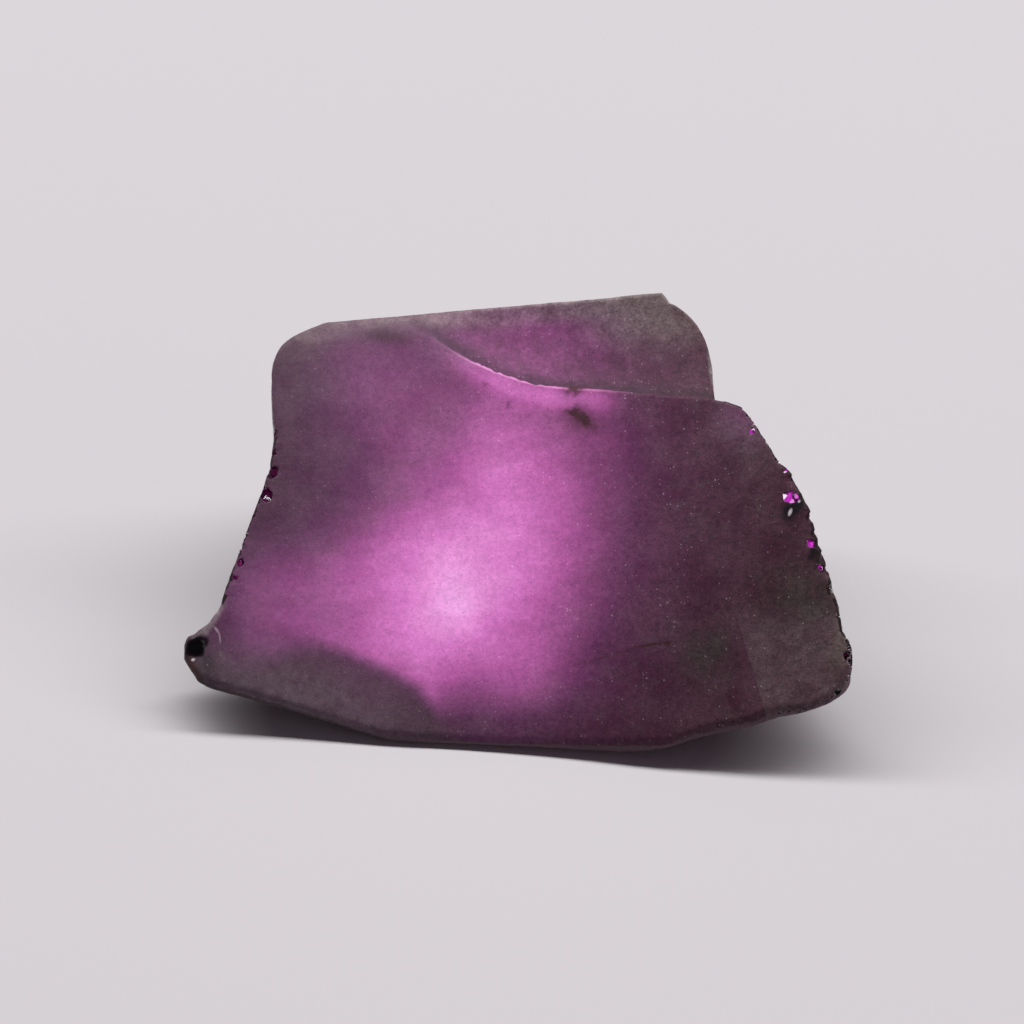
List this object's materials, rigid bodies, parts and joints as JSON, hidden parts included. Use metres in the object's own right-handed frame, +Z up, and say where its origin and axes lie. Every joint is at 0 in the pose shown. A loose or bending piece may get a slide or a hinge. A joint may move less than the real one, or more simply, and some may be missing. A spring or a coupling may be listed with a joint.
{
  "type": "rough alexandrite crystal",
  "caption": "Wedge-shaped chunk of rough alexandrite with a frosted domed face, a curved fracture step and chipped glassy edges; a display or sample stone that lies on its flat underside.",
  "frame": {"origin": "middle of the bottom of the bounding box, on the plane that the flat underside facet rests on", "axes": "+X along the length, from the small tongue to the rounded lobe; +Y from the thin front edge to the high back wall; +Z up"},
  "size_m": [0.0318, 0.0192, 0.0124],
  "materials": {
    "alexandrite": "frosted"
  },
  "bodies": {
    "root": {"alexandrite_stone": "alexandrite"}
  },
  "joints": []
}
